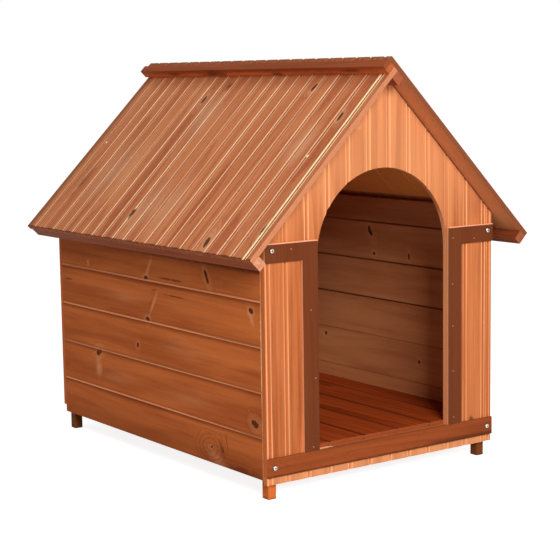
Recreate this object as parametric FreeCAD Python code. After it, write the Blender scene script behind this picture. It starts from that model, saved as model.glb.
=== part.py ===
import FreeCAD, Part
import math
import os

# A small wooden dog house: a gabled box of tongue-and-groove boards on four corner posts.
# +X is to the right of someone who looks at the doorway, +Y runs from the doorway to the
# rear wall, +Z is up. The origin is on the ground, in the middle of the outer dimensions.
# Both roof slopes stand at 45 degrees, so that they meet in a square corner at the ridge.
# All sizes are in millimetres.

# ---- Whole house ----------------------------------------------------------------------
HOUSE_WIDTH = 560.0        # over the outer faces of the side walls
HOUSE_DEPTH = 780.0        # over the outer faces of the front and rear panels
EAVE_HEIGHT = 469.0        # underside of the roof at the wall, above the front panel's bottom
FOOT_HEIGHT = 30.0         # clear height under the front panel
SIDE_RAISE = 8.0           # bottom edge of the side walls above that of the front panel
REAR_RAISE = 23.0          # the same for the rear panel
WALL_SETBACK = 1.0         # gap between the front panel and the ends of the side boards
EAVE_OVERHANG = 52.0       # lower corner of the roof boards beyond the side wall
FRONT_OVERHANG = 42.0      # roof boards in front of the front panel
REAR_OVERHANG = 33.0       # roof boards behind the rear panel
STRIP_OVERHANG = 11.0      # ridge strip behind the roof boards

# ---- Matchboard -----------------------------------------------------------------------
BOARD_THICKNESS = 10.0
PLAIN_COVER = 84.0         # visible width of a wall, floor or roof board
GABLE_COVER = 98.0         # visible width of a board in the front and rear panels
GABLE_BOARDS = 6           # in each panel; the outer two are ripped to its width
STILE_WIDTH = 23.0         # first joint left of the doorway, from its edge
EDGE_BEAD = 8.5            # vee along the outer edge of each panel
FIRST_ROOF_JOINT = 61.0    # from the front edge of the roof
FIRST_WALL_JOINT = 87.0    # above the bottom of the front panel
NARROWEST_RIP = 16.0       # a joint closer to an edge than this is only a decorative vee
TONGUE_LENGTH = 5.0
TONGUE_THICKNESS = 3.0
TONGUE_BASE = 2.7          # underside of the tongue above the back of the board
TONGUE_TAPER = 0.4
JOINT_PLAY = 0.3           # clearance of the tongue in its groove and between two boards
VEE_HALF_WIDTH = 3.6       # half of a vee on the moulded boards
VEE_DEPTH = 2.4
EASED_EDGE = 1.6           # bevel along the joints of the plain boards
BACK_BEVEL = 0.8

# ---- Battens and posts ----------------------------------------------------------------
BATTEN_WIDTH = 20.0
BATTEN_DEPTH = 18.0
BATTEN_BEVEL = 1.0
STRIP_PROUD = 2.0          # ridge strip above the ends of the lapping right-hand boards
EAVE_BATTEN_STOP = 10.0    # eave batten short of the rear ends of the roof

# ---- Doorway and floor ----------------------------------------------------------------
DOOR_WIDTH = 320.0
SPRING_HEIGHT = 409.0      # start of the round arch, above the bottom of the front panel
FLOOR_STEP = 8.0           # top of the floor above the sill

# ---- Trims ----------------------------------------------------------------------------
TRIM_WIDTH = 35.0
TRIM_THICKNESS = 5.0
TRIM_BEVEL = 0.8
LOW_TRIM_HEIGHT = 15.0     # bottom edge of the low trim above that of the front panel
ARM_DROP = 24.0            # top of the door trims below the roof at the wall
TRIM_REVEAL = 1.0          # door trims back from the edge of the doorway

# ---- Screws ---------------------------------------------------------------------------
HEAD_DIAMETER = 10.0
HEAD_HEIGHT = 2.6
HEAD_RIM = 1.0
HEAD_SLOPE = 1.8           # the head's bevelled shoulder, seen from above
SHANK_DIAMETER = 4.0
SCREW_LENGTH = 25.0
SCREW_TIP = 4.0
HOLE_PLAY = 0.3
RECESS_SPAN = 5.2
RECESS_WIDTH = 1.1
RECESS_DEPTH = 1.5
SCREW_IN_POST = 5.0        # from the outer face of the posts
ARM_SCREW_DROP = 13.0      # below the top of the door trims
REAR_SCREW_RISE = 22.0     # above the bottom of the rear panel
FIT = 0.3                  # between pieces that are slipped past each other

# ---- Worked out -----------------------------------------------------------------------
HALF_WIDTH = HOUSE_WIDTH / 2
INNER_HALF = HALF_WIDTH - BOARD_THICKNESS
OVERALL_LENGTH = FRONT_OVERHANG + HOUSE_DEPTH + REAR_OVERHANG + STRIP_OVERHANG
ROOF_FRONT = -OVERALL_LENGTH / 2
FRONT_FACE = ROOF_FRONT + FRONT_OVERHANG
REAR_FACE = FRONT_FACE + HOUSE_DEPTH
ROOF_REAR = REAR_FACE + REAR_OVERHANG
FRONT_BACK = FRONT_FACE + BOARD_THICKNESS
REAR_BACK = REAR_FACE - BOARD_THICKNESS
EAVE_Z = FOOT_HEIGHT + EAVE_HEIGHT
APEX_Z = EAVE_Z + HALF_WIDTH
SLOPE_LENGTH = (HALF_WIDTH + EAVE_OVERHANG) * math.sqrt(2)
SIDE_BOTTOM = FOOT_HEIGHT + SIDE_RAISE
REAR_BOTTOM = FOOT_HEIGHT + REAR_RAISE
RAIL_TOP = EAVE_Z + BOARD_THICKNESS
RAIL_UNDER = RAIL_TOP - BATTEN_WIDTH
LOW_TRIM_Z = FOOT_HEIGHT + LOW_TRIM_HEIGHT
ARM_TOP_Z = EAVE_Z - ARM_DROP
SILL_Z = LOW_TRIM_Z + TRIM_WIDTH
SPRING_Z = FOOT_HEIGHT + SPRING_HEIGHT
FLOOR_TOP = SILL_Z + FLOOR_STEP
FLOOR_UNDER = FLOOR_TOP - BOARD_THICKNESS
DOOR_HALF = DOOR_WIDTH / 2
RIDGE_LAP = BOARD_THICKNESS + BATTEN_WIDTH - STRIP_PROUD
SCREW_X = INNER_HALF - SCREW_IN_POST

X_AXIS = FreeCAD.Vector(1, 0, 0)
Y_AXIS = FreeCAD.Vector(0, 1, 0)
Z_AXIS = FreeCAD.Vector(0, 0, 1)
UP_RIGHT = FreeCAD.Vector(math.sqrt(0.5), 0, math.sqrt(0.5))
UP_LEFT = FreeCAD.Vector(-math.sqrt(0.5), 0, math.sqrt(0.5))


class Lay:
    """How a run of boards or battens lies: across them, out of their face and along them."""

    def __init__(self, origin, across, out, along):
        self.origin = FreeCAD.Vector(*origin)
        self.across = across
        self.out = out
        self.along = along

    def sweep(self, outline, start, end):
        """Solid with the given section, from start to end along the run."""
        base = self.origin + self.along * start
        corners = [base + self.across * s + self.out * t for s, t in outline]
        section = Part.Face(Part.makePolygon(corners + corners[:1]))
        return section.extrude(self.along * (end - start))


# Boards ----------------------------------------------------------------------------------
def tongue_edge(edge, half_vee, depth):
    """Low edge of a board with its tongue, from the back to the face."""
    top = TONGUE_BASE + TONGUE_THICKNESS
    tip = edge - TONGUE_LENGTH
    return [
        (edge + BACK_BEVEL, 0),
        (edge, BACK_BEVEL),
        (edge, TONGUE_BASE),
        (tip, TONGUE_BASE + TONGUE_TAPER),
        (tip, top - TONGUE_TAPER),
        (edge, top),
        (edge, BOARD_THICKNESS - depth),
        (edge + half_vee, BOARD_THICKNESS),
    ]


def groove_edge(edge, half_vee, depth):
    """High edge of a board with its groove, from the face to the back."""
    top = TONGUE_BASE + TONGUE_THICKNESS + JOINT_PLAY / 2
    base = TONGUE_BASE - JOINT_PLAY / 2
    bottom = edge - TONGUE_LENGTH - JOINT_PLAY
    return [
        (edge - half_vee, BOARD_THICKNESS),
        (edge, BOARD_THICKNESS - depth),
        (edge, top),
        (bottom, top),
        (bottom, base),
        (edge, base),
        (edge, BACK_BEVEL),
        (edge - BACK_BEVEL, 0),
    ]


def board_outline(low, high, has_tongue, has_groove, vees, moulded):
    """Section of one board between its low and high edges."""
    half_vee = VEE_HALF_WIDTH if moulded else EASED_EDGE
    depth = VEE_DEPTH if moulded else EASED_EDGE
    outline = [(low, 0), (low, BOARD_THICKNESS)]
    if has_tongue:
        outline = tongue_edge(low + JOINT_PLAY / 2, half_vee, depth)
    for middle in vees:
        outline.append((middle - half_vee, BOARD_THICKNESS))
        outline.append((middle, BOARD_THICKNESS - depth))
        outline.append((middle + half_vee, BOARD_THICKNESS))
    if has_groove:
        return outline + groove_edge(high - JOINT_PLAY / 2, half_vee, depth)
    return outline + [(high, BOARD_THICKNESS), (high, 0)]


def grid_lines(start, end, first, step):
    """Every first + k * step that lies between start and end."""
    lowest = math.ceil((start - first) / step)
    highest = math.floor((end - first) / step)
    return [first + k * step for k in range(lowest, highest + 1)]


def plain_outlines(start, end, first_joint):
    """Sections of the plain boards that cover the stretch from start to end, in order."""
    joints = grid_lines(start + NARROWEST_RIP, end - NARROWEST_RIP, first_joint, PLAIN_COVER)
    edges = [start] + joints + [end]
    return [
        board_outline(low, high, low != start, high != end, [], False)
        for low, high in zip(edges, edges[1:])
    ]


def moulded_outlines(start, end, joints, half_cover, edge_vees):
    """Sections of moulded boards with the given joints, and a vee at every half cover."""
    margin = 2 * VEE_HALF_WIDTH
    edge_room = margin + (EDGE_BEAD + VEE_HALF_WIDTH if edge_vees else 0)
    edges = [start] + joints + [end]
    outlines = []
    for low, high in zip(edges, edges[1:]):
        left_room = edge_room if low == start else margin
        right_room = edge_room if high == end else margin
        vees = grid_lines(low + left_room, high - right_room, joints[0], half_cover)
        if edge_vees and low == start:
            vees = [start + EDGE_BEAD] + vees
        if edge_vees and high == end:
            vees = vees + [end - EDGE_BEAD]
        outlines.append(board_outline(low, high, low != start, high != end, vees, True))
    return outlines


# Battens ---------------------------------------------------------------------------------
def batten_outline(low, high, bottom, top):
    """Rectangle with eased corners."""
    bevel = BATTEN_BEVEL
    return [
        (low + bevel, bottom), (high - bevel, bottom),
        (high, bottom + bevel), (high, top - bevel),
        (high - bevel, top), (low + bevel, top),
        (low, top - bevel), (low, bottom + bevel),
    ]


def make_post(side, front_y):
    """Corner post; its lower end is the foot of the house."""
    edges = sorted([side * INNER_HALF, side * (INNER_HALF - BATTEN_DEPTH)])
    lay = Lay((0, 0, 0), X_AXIS, Y_AXIS, Z_AXIS)
    outline = batten_outline(edges[0], edges[1], front_y, front_y + BATTEN_WIDTH)
    return lay.sweep(outline, 0, RAIL_UNDER)


def make_top_rail(side):
    """Rail on the posts, against the top of a side wall; the roof rests on its edge."""
    edges = sorted([side * INNER_HALF, side * (INNER_HALF - BATTEN_DEPTH)])
    lay = Lay((0, 0, 0), X_AXIS, Z_AXIS, Y_AXIS)
    outline = batten_outline(edges[0], edges[1], RAIL_UNDER, RAIL_TOP)
    return lay.sweep(outline, FRONT_BACK, REAR_BACK)


def make_floor_bearer(front_y, half_length):
    """Cross batten under the floor."""
    lay = Lay((0, 0, 0), Y_AXIS, Z_AXIS, X_AXIS)
    under = FLOOR_UNDER - BATTEN_WIDTH
    outline = batten_outline(front_y, front_y + BATTEN_DEPTH, under, FLOOR_UNDER)
    return lay.sweep(outline, -half_length, half_length)


def ridge_lay():
    """Square corner of the ridge: across is up the right slope, out is up the left slope."""
    return Lay((0, 0, APEX_Z), UP_LEFT, UP_RIGHT, Y_AXIS)


def make_ridge_beam():
    """Batten in the corner under both slopes, through the notches of both panels."""
    outline = batten_outline(-BATTEN_WIDTH, 0, -BATTEN_DEPTH, 0)
    return ridge_lay().sweep(outline, ROOF_FRONT, ROOF_REAR)


def make_ridge_strip():
    """Batten on the left slope that closes the joint under the lapping right-hand boards."""
    face = BOARD_THICKNESS
    outline = batten_outline(face, face + BATTEN_WIDTH, -BATTEN_DEPTH, 0)
    return ridge_lay().sweep(outline, ROOF_FRONT, ROOF_REAR + STRIP_OVERHANG)


def make_eave_batten(up_slope, out):
    """Batten under the lower ends of the roof boards, flush with them."""
    lay = Lay((0, 0, APEX_Z), up_slope, out, Y_AXIS)
    outline = batten_outline(-SLOPE_LENGTH, BATTEN_DEPTH - SLOPE_LENGTH, -BATTEN_WIDTH, 0)
    return lay.sweep(outline, ROOF_FRONT, ROOF_REAR - EAVE_BATTEN_STOP)


def make_gable_battens(front_y):
    """Two battens inside a panel, under the slopes, from the top rails to the ridge beam."""
    lower = (BATTEN_DEPTH - INNER_HALF) * math.sqrt(2) + FIT
    battens = []
    for up_slope, out, beam in ((UP_RIGHT, UP_LEFT, BATTEN_DEPTH), (UP_LEFT, UP_RIGHT, BATTEN_WIDTH)):
        lay = Lay((0, 0, APEX_Z), Y_AXIS, out, up_slope)
        outline = batten_outline(front_y, front_y + BATTEN_DEPTH, -BATTEN_WIDTH, 0)
        battens.append(lay.sweep(outline, lower, -beam))
    return battens


# Roof ------------------------------------------------------------------------------------
def make_roof_boards(up_slope, out, upper_end):
    """Boards of one slope, from the front of the house to its rear."""
    lay = Lay((0, 0, APEX_Z), Y_AXIS, out, up_slope)
    first = ROOF_FRONT + FIRST_ROOF_JOINT
    joints = grid_lines(first, ROOF_REAR - NARROWEST_RIP, first, PLAIN_COVER)
    outlines = moulded_outlines(ROOF_FRONT, ROOF_REAR, joints, PLAIN_COVER / 2, False)
    return [lay.sweep(outline, -SLOPE_LENGTH, upper_end) for outline in outlines]


# Walls -----------------------------------------------------------------------------------
def make_wall_boards(side):
    """Horizontal boards of a side wall from the bottom up, tongues upwards."""
    lay = Lay((side * INNER_HALF, 0, 0), -Z_AXIS, X_AXIS * side, Y_AXIS)
    first = -(FOOT_HEIGHT + FIRST_WALL_JOINT)
    outlines = plain_outlines(-EAVE_Z, -SIDE_BOTTOM, first)
    front = FRONT_BACK + WALL_SETBACK
    return [lay.sweep(outline, front, REAR_BACK) for outline in reversed(outlines)]


def prism(outline, start, end):
    """Solid with a section in the XZ plane, between two values of y."""
    lay = Lay((0, 0, 0), X_AXIS, Z_AXIS, Y_AXIS)
    return lay.sweep(outline, start, end)


def ridge_notch(start, end):
    """Room for the ridge beam in the top of a panel."""
    outline = [
        (-BATTEN_WIDTH, -BATTEN_DEPTH), (BATTEN_WIDTH, -BATTEN_DEPTH),
        (BATTEN_WIDTH, BATTEN_WIDTH), (-BATTEN_WIDTH, BATTEN_WIDTH),
    ]
    return ridge_lay().sweep(outline, start, end)


def gable_blank(bottom, start, end):
    """Everything under both slopes and above the bottom edge of a panel."""
    reach = HALF_WIDTH + BATTEN_WIDTH
    outline = [
        (-reach, bottom), (reach, bottom), (reach, APEX_Z - reach),
        (0, APEX_Z), (-reach, APEX_Z - reach),
    ]
    return prism(outline, start, end).cut(ridge_notch(start, end))


def door_cutter(start, end):
    """Straight doorway with a round arch."""
    low_left = FreeCAD.Vector(-DOOR_HALF, start, SILL_Z)
    low_right = FreeCAD.Vector(DOOR_HALF, start, SILL_Z)
    left = FreeCAD.Vector(-DOOR_HALF, start, SPRING_Z)
    right = FreeCAD.Vector(DOOR_HALF, start, SPRING_Z)
    crown = FreeCAD.Vector(0, start, SPRING_Z + DOOR_HALF)
    sides = [
        Part.makeLine(low_left, low_right),
        Part.makeLine(low_right, right),
        Part.Arc(right, crown, left).toShape(),
        Part.makeLine(left, low_left),
    ]
    return Part.Face(Part.Wire(sides)).extrude(Y_AXIS * (end - start))


def make_gable_boards(back_y, out, blank):
    """Upright boards of the front or rear panel from left to right, cut to the blank."""
    lay = Lay((0, back_y, 0), X_AXIS, out, Z_AXIS)
    first = -DOOR_HALF - STILE_WIDTH
    joints = [first + number * GABLE_COVER for number in range(GABLE_BOARDS - 1)]
    outlines = moulded_outlines(-HALF_WIDTH, HALF_WIDTH, joints, GABLE_COVER / 2, True)
    return [lay.sweep(outline, 0, APEX_Z).common(blank) for outline in outlines]


def make_front_boards():
    """Upright boards with the doorway; those in the middle fall into two pieces."""
    start = FRONT_FACE - BOARD_THICKNESS
    end = FRONT_BACK + BOARD_THICKNESS
    blank = gable_blank(FOOT_HEIGHT, start, end).cut(door_cutter(start, end))
    return make_gable_boards(FRONT_BACK, -Y_AXIS, blank)


def make_rear_boards():
    blank = gable_blank(REAR_BOTTOM, REAR_BACK - BOARD_THICKNESS, REAR_FACE + BOARD_THICKNESS)
    return make_gable_boards(REAR_BACK, Y_AXIS, blank)


# Floor -----------------------------------------------------------------------------------
def post_clearance(side, front_y):
    """Room for a corner post in the corner of the floor."""
    size = (BATTEN_DEPTH + 2 * FIT, BATTEN_WIDTH + 2 * FIT, FLOOR_TOP)
    x = side * (INNER_HALF - BATTEN_DEPTH / 2) - size[0] / 2
    return Part.makeBox(*size, FreeCAD.Vector(x, front_y - FIT, 0))


def make_floor_boards(posts_room):
    """Boards from the front panel to the rear panel, notched around the posts."""
    lay = Lay((0, 0, FLOOR_UNDER), X_AXIS, Z_AXIS, Y_AXIS)
    edge = INNER_HALF - FIT
    outlines = plain_outlines(-edge, edge, PLAIN_COVER / 2)
    boards = [lay.sweep(outline, FRONT_BACK + FIT, REAR_BACK - FIT) for outline in outlines]
    return [board.cut(posts_room) for board in boards]


# Trims -----------------------------------------------------------------------------------
def flat_trim(outline):
    """Thin board on the front panel with its front edges eased."""
    face = FRONT_FACE - TRIM_THICKNESS
    solid = prism(outline, face, FRONT_FACE)
    front_edges = [edge for edge in solid.Edges if abs(edge.BoundBox.YMax - face) < 1e-6]
    return solid.makeChamfer(TRIM_BEVEL, front_edges)


def make_low_trim():
    """Straight trim across the front; its top edge is level with the sill."""
    return flat_trim([
        (-HALF_WIDTH, LOW_TRIM_Z), (HALF_WIDTH, LOW_TRIM_Z),
        (HALF_WIDTH, SILL_Z), (-HALF_WIDTH, SILL_Z),
    ])


def make_door_trim(side):
    """Upright beside the doorway with an arm that runs out to the edge of the panel."""
    inner = side * (DOOR_HALF + TRIM_REVEAL)
    outer = inner + side * TRIM_WIDTH
    edge = side * HALF_WIDTH
    arm = ARM_TOP_Z - TRIM_WIDTH
    return flat_trim([
        (inner, SILL_Z), (outer, SILL_Z), (outer, arm),
        (edge, arm), (edge, ARM_TOP_Z), (inner, ARM_TOP_Z),
    ])


# Screws ----------------------------------------------------------------------------------
def make_screw():
    """Pan-head screw with a cross recess; the underside of its head is at the origin."""
    head = HEAD_DIAMETER / 2
    shank = SHANK_DIAMETER / 2
    outline = [
        (0, -SCREW_LENGTH), (shank, SCREW_TIP - SCREW_LENGTH), (shank, 0), (head, 0),
        (head, HEAD_RIM), (head - HEAD_SLOPE, HEAD_HEIGHT), (0, HEAD_HEIGHT),
    ]
    corners = [FreeCAD.Vector(radius, 0, height) for radius, height in outline]
    section = Part.Face(Part.makePolygon(corners + corners[:1]))
    screw = section.revolve(FreeCAD.Vector(0, 0, 0), Z_AXIS, 360)
    floor = FreeCAD.Vector(0, 0, HEAD_HEIGHT - RECESS_DEPTH)
    for span, width in ((RECESS_SPAN, RECESS_WIDTH), (RECESS_WIDTH, RECESS_SPAN)):
        corner = floor - FreeCAD.Vector(span / 2, width / 2, 0)
        screw = screw.cut(Part.makeBox(span, width, HEAD_HEIGHT, corner))
    return screw


def front_screw_places():
    heights = [LOW_TRIM_Z + TRIM_WIDTH / 2, ARM_TOP_Z - ARM_SCREW_DROP]
    face = FRONT_FACE - TRIM_THICKNESS
    return [(side * SCREW_X, face, z) for side in (-1, 1) for z in heights]


def rear_screw_places():
    heights = [REAR_BOTTOM + REAR_SCREW_RISE, ARM_TOP_Z - ARM_SCREW_DROP]
    return [(side * SCREW_X, REAR_FACE, z) for side in (-1, 1) for z in heights]


def make_screws():
    """Four screws through the front panel and four through the rear panel, into the posts."""
    screws = []
    for places, turn in ((front_screw_places(), 90), (rear_screw_places(), -90)):
        for place in places:
            screw = make_screw()
            screw.rotate(FreeCAD.Vector(0, 0, 0), X_AXIS, turn)
            screw.translate(FreeCAD.Vector(*place))
            screws.append(screw)
    return screws


def screw_holes():
    """Bores for all screws, through trims and panels into the posts."""
    radius = (SHANK_DIAMETER + HOLE_PLAY) / 2
    depth = SCREW_LENGTH + 1
    bores = []
    for places, along in ((front_screw_places(), Y_AXIS), (rear_screw_places(), -Y_AXIS)):
        for place in places:
            start = FreeCAD.Vector(*place) - along
            bores.append(Part.makeCylinder(radius, depth + 1, start, along))
    return Part.makeCompound(bores)


# The whole house -------------------------------------------------------------------------
def name_front_pieces(boards):
    """A board that the doorway cuts through is an upper piece and a sill piece."""
    nodes = {}
    for number, board in enumerate(boards, 1):
        pieces = sorted(board.Solids, key=lambda piece: piece.CenterOfMass.z)
        nodes[f"front_board_{number}"] = pieces[-1]
        if len(pieces) > 1:
            nodes[f"sill_board_{number}"] = pieces[0]
    return nodes


def numbered(name, shapes):
    return {f"{name}_{number}": shape for number, shape in enumerate(shapes, 1)}


def make_house():
    """All pieces of the house by name."""
    holes = screw_holes()
    front_y = FRONT_BACK
    rear_y = REAR_BACK - BATTEN_WIDTH
    corners = [(-1, front_y), (1, front_y), (-1, rear_y), (1, rear_y)]
    posts_room = Part.makeCompound([post_clearance(*corner) for corner in corners])
    between_posts = INNER_HALF - BATTEN_DEPTH
    nodes = {}
    post_names = ["front_left_post", "front_right_post", "rear_left_post", "rear_right_post"]
    for name, corner in zip(post_names, corners):
        nodes[name] = make_post(*corner).cut(holes)
    nodes["left_top_rail"] = make_top_rail(-1)
    nodes["right_top_rail"] = make_top_rail(1)
    nodes["floor_bearers"] = Part.makeCompound([
        make_floor_bearer(FRONT_BACK, between_posts),
        make_floor_bearer(FRONT_FACE + (HOUSE_DEPTH - BATTEN_DEPTH) / 2, INNER_HALF),
        make_floor_bearer(REAR_BACK - BATTEN_DEPTH, between_posts),
    ])
    nodes["gable_battens"] = Part.makeCompound(
        make_gable_battens(FRONT_BACK) + make_gable_battens(REAR_BACK - BATTEN_DEPTH)
    )
    nodes["floor_boards"] = Part.makeCompound(make_floor_boards(posts_room))
    nodes.update(name_front_pieces([board.cut(holes) for board in make_front_boards()]))
    nodes["rear_boards"] = Part.makeCompound([board.cut(holes) for board in make_rear_boards()])
    nodes.update(numbered("left_wall_board", make_wall_boards(-1)))
    nodes.update(numbered("right_wall_board", make_wall_boards(1)))
    nodes["ridge_beam"] = make_ridge_beam()
    nodes["left_eave_batten"] = make_eave_batten(UP_RIGHT, UP_LEFT)
    nodes["right_eave_batten"] = make_eave_batten(UP_LEFT, UP_RIGHT)
    nodes.update(numbered("left_roof_board", make_roof_boards(UP_RIGHT, UP_LEFT, 0)))
    nodes.update(numbered("right_roof_board", make_roof_boards(UP_LEFT, UP_RIGHT, RIDGE_LAP)))
    nodes["ridge_strip"] = make_ridge_strip()
    nodes["low_trim"] = make_low_trim().cut(holes)
    nodes["left_door_trim"] = make_door_trim(-1).cut(holes)
    nodes["right_door_trim"] = make_door_trim(1).cut(holes)
    nodes["panel_screws"] = Part.makeCompound(make_screws())
    return nodes


def main():
    os.makedirs("parts", exist_ok=True)
    house = make_house()
    for name, shape in house.items():
        shape.exportStep(f"parts/{name}.step")
    print(len(house), "nodes,", sum(len(shape.Solids) for shape in house.values()), "solids")


main()
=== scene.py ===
# %% [markdown]
# # A small wooden dog house
# The carpenter's pieces come ready cut: every post, board, batten, trim and screw is a solid
# of its own, and this lesson only dresses them. It gives each board its own grain, knots and
# stain, adds the nails that hold the boards, and sets up a plain photo studio around it all.
# The first lines load the pieces. Their sizes and places are fixed from here on.

# %% Load the pieces
import math

import bpy
from mathutils import Matrix, Vector


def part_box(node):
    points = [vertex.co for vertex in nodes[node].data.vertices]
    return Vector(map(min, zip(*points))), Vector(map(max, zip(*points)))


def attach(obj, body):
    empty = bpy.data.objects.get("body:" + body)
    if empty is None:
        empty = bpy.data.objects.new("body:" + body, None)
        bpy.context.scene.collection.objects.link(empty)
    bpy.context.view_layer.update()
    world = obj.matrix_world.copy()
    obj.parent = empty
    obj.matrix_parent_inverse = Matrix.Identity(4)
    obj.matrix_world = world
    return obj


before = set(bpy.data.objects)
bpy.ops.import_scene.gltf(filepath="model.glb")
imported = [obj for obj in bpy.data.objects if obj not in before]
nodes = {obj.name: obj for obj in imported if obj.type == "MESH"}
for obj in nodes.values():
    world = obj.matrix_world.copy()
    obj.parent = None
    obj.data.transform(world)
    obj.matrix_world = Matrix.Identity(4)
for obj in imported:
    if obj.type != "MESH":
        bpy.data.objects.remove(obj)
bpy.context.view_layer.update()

# %% [markdown]
# ## Sizes that the finishes need
# The grain, the vees and the nails have to lie where the boards lie. A size that can be read
# from the box of a piece is read there, and the layout of the boards is written down once more,
# in metres. +X is to the right of someone who looks at the doorway, +Y runs to the rear, and +Z
# is up.

# %% Sizes of the house
ROOF_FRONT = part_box("left_roof_board_1")[0][1]
ROOF_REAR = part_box("left_roof_board_11")[1][1]
EAVE_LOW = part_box("left_roof_board_1")[0][2]
PANEL_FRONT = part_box("front_board_1")[0][1]
WALL_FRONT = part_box("left_wall_board_1")[0][1]
WALL_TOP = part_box("left_wall_board_6")[1][2]
TRIM_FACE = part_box("low_trim")[0][1]
HALF_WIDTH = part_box("low_trim")[1][0]
ARM_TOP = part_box("left_door_trim")[1][2]
SCREW_X = 0.265          # places of the screws, to the side and, below, upwards
LOW_SCREW, REAR_SCREW, ARM_SCREW = 0.0625, 0.075, ARM_TOP - 0.013
APEX = WALL_TOP + HALF_WIDTH
HALF = math.sqrt(0.5)    # a 45 degree direction has this much along each axis
SLOPE_LOW = (2 * EAVE_LOW - APEX) * HALF
SLOPE_HIGH = APEX * HALF
BOARD = 0.010            # thickness
PLAIN_COVER = 0.084      # visible width of a board of the roof, walls and floor
GABLE_COVER = 0.098      # and of the front and rear panels
FIRST_ROOF_JOINT = ROOF_FRONT + 0.061
FIRST_WALL_JOINT = 0.117
FIRST_GABLE_JOINT = -0.1832
EDGE_BEAD = 0.0085       # a last vee, this far from the sides of the panels
SHADOW_TOP = WALL_TOP - 0.064
print("roof from", round(ROOF_FRONT, 4), "apex", round(APEX, 4), "slope from", round(SLOPE_LOW, 4))

# %% [markdown]
# ## Camera
# The photograph was taken from the left front corner, a little above the eaves, with a long
# lens. The place and the turn below were worked out from the corners of the house. A camera
# looks along its own -Z, so its matrix is built from the three directions of the picture.

# %% Camera
CAMERA_PLACE = Vector((-1.8318, -2.5842, 0.7724))
YAW = math.radians(35.90)
PITCH = math.radians(7.68)
ROLL = -0.0144           # radians
SENSOR = 36.0            # millimetres, as the lens
LENS = 97.18


def camera_matrix():
    """Matrix of the camera from its place, its two angles and the small roll."""
    flat = math.cos(PITCH)
    ahead = Vector((math.sin(YAW) * flat, math.cos(YAW) * flat, -math.sin(PITCH)))
    level = Vector((math.cos(YAW), -math.sin(YAW), 0))
    upright = level.cross(ahead)
    right = level * math.cos(ROLL) + upright * math.sin(ROLL)
    up = upright * math.cos(ROLL) - level * math.sin(ROLL)
    turn = Matrix((right, up, -ahead)).transposed().to_4x4()
    return Matrix.Translation(CAMERA_PLACE) @ turn


camera_data = bpy.data.cameras.new("camera")
camera_data.sensor_width = SENSOR
camera_data.lens = LENS
camera_data.clip_end = 200
camera = bpy.data.objects.new("camera", camera_data)
bpy.context.scene.collection.objects.link(camera)
camera.matrix_world = camera_matrix()
bpy.context.scene.camera = camera
print("camera at", [round(v, 3) for v in camera.location])

# %% [markdown]
# ## Small helpers for node trees
# Every finish below is a network of shader nodes. Small helpers keep the cells short: they add
# a node, do a sum on numbers or vectors, fade between two limits, blend two colours, make a
# noise, and turn a colour from a paint chart into the light values that a shader works with.

# %% Helpers for node trees
def paint(red, green, blue):
    """Colour on a scale of 0 to 255, as light values."""
    parts = [value / 255 for value in (red, green, blue)]
    return tuple(p / 12.92 if p <= 0.04045 else ((p + 0.055) / 1.055) ** 2.4 for p in parts) + (1,)


def feed(tree, socket, value):
    """Links a socket to a socket, or writes a number or colour into it."""
    if isinstance(value, bpy.types.NodeSocket):
        tree.links.new(value, socket)
    else:
        socket.default_value = value


def add_node(tree, kind, values=(), **settings):
    """Adds a node with its settings and feeds its inputs by name or number."""
    node = tree.nodes.new(kind)
    for name, value in settings.items():
        setattr(node, name, value)
    for name, value in dict(values).items():
        feed(tree, node.inputs[name], value)
    return node


def sums(tree, operation, *values):
    """Result of one sum on numbers or sockets."""
    node = add_node(tree, "ShaderNodeMath", operation=operation)
    for socket, value in zip(node.inputs, values):
        feed(tree, socket, value)
    return node.outputs[0]


def product(tree, first, second):
    """One number or socket times another."""
    return sums(tree, "MULTIPLY", first, second)


def between(tree, value, low, high, start=0.0, end=1.0):
    """Smooth step: start where value is below low, end where it is above high."""
    inputs = {"Value": value, "From Min": low, "From Max": high, "To Min": start, "To Max": end}
    node = add_node(tree, "ShaderNodeMapRange", inputs, interpolation_type="SMOOTHSTEP")
    return node.outputs[0]


def apart(tree, first, second):
    """How far two numbers are apart."""
    return sums(tree, "ABSOLUTE", sums(tree, "SUBTRACT", first, second))


def slant_length(tree, first, second):
    """Length of the slant of a right angle with two given sides."""
    squares = [product(tree, value, value) for value in (first, second)]
    return sums(tree, "SQRT", sums(tree, "ADD", *squares))


def blend_colour(tree, amount, first, second):
    """First colour where amount is 0, second where it is 1."""
    inputs = {0: amount, 6: first, 7: second}
    return add_node(tree, "ShaderNodeMix", inputs, data_type="RGBA").outputs[2]


def vector(tree, operation, *values):
    """Result of one sum on vectors."""
    node = add_node(tree, "ShaderNodeVectorMath", dict(enumerate(values)), operation=operation)
    return node.outputs[0]


def split(tree, value):
    """The three parts of a vector."""
    return add_node(tree, "ShaderNodeSeparateXYZ", {0: value}).outputs


def dot(tree, first, second):
    """How far the first vector reaches along the second."""
    node = add_node(tree, "ShaderNodeVectorMath", {0: first, 1: second}, operation="DOT_PRODUCT")
    return node.outputs["Value"]


def noise(tree, place, stretch, detail=2.0, rough=0.5):
    """Noise pattern that is stretched by three factors."""
    inputs = {"Vector": vector(tree, "MULTIPLY", place, stretch), "Scale": 1.0,
              "Detail": detail, "Roughness": rough}
    return add_node(tree, "ShaderNodeTexNoise", inputs).outputs["Fac"]


def new_material(name):
    """Material with its node tree and its shader."""
    material = bpy.data.materials.new(name)
    material.use_nodes = True
    tree = material.node_tree
    return material, tree, tree.nodes["Principled BSDF"]


print("helpers ready")

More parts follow.
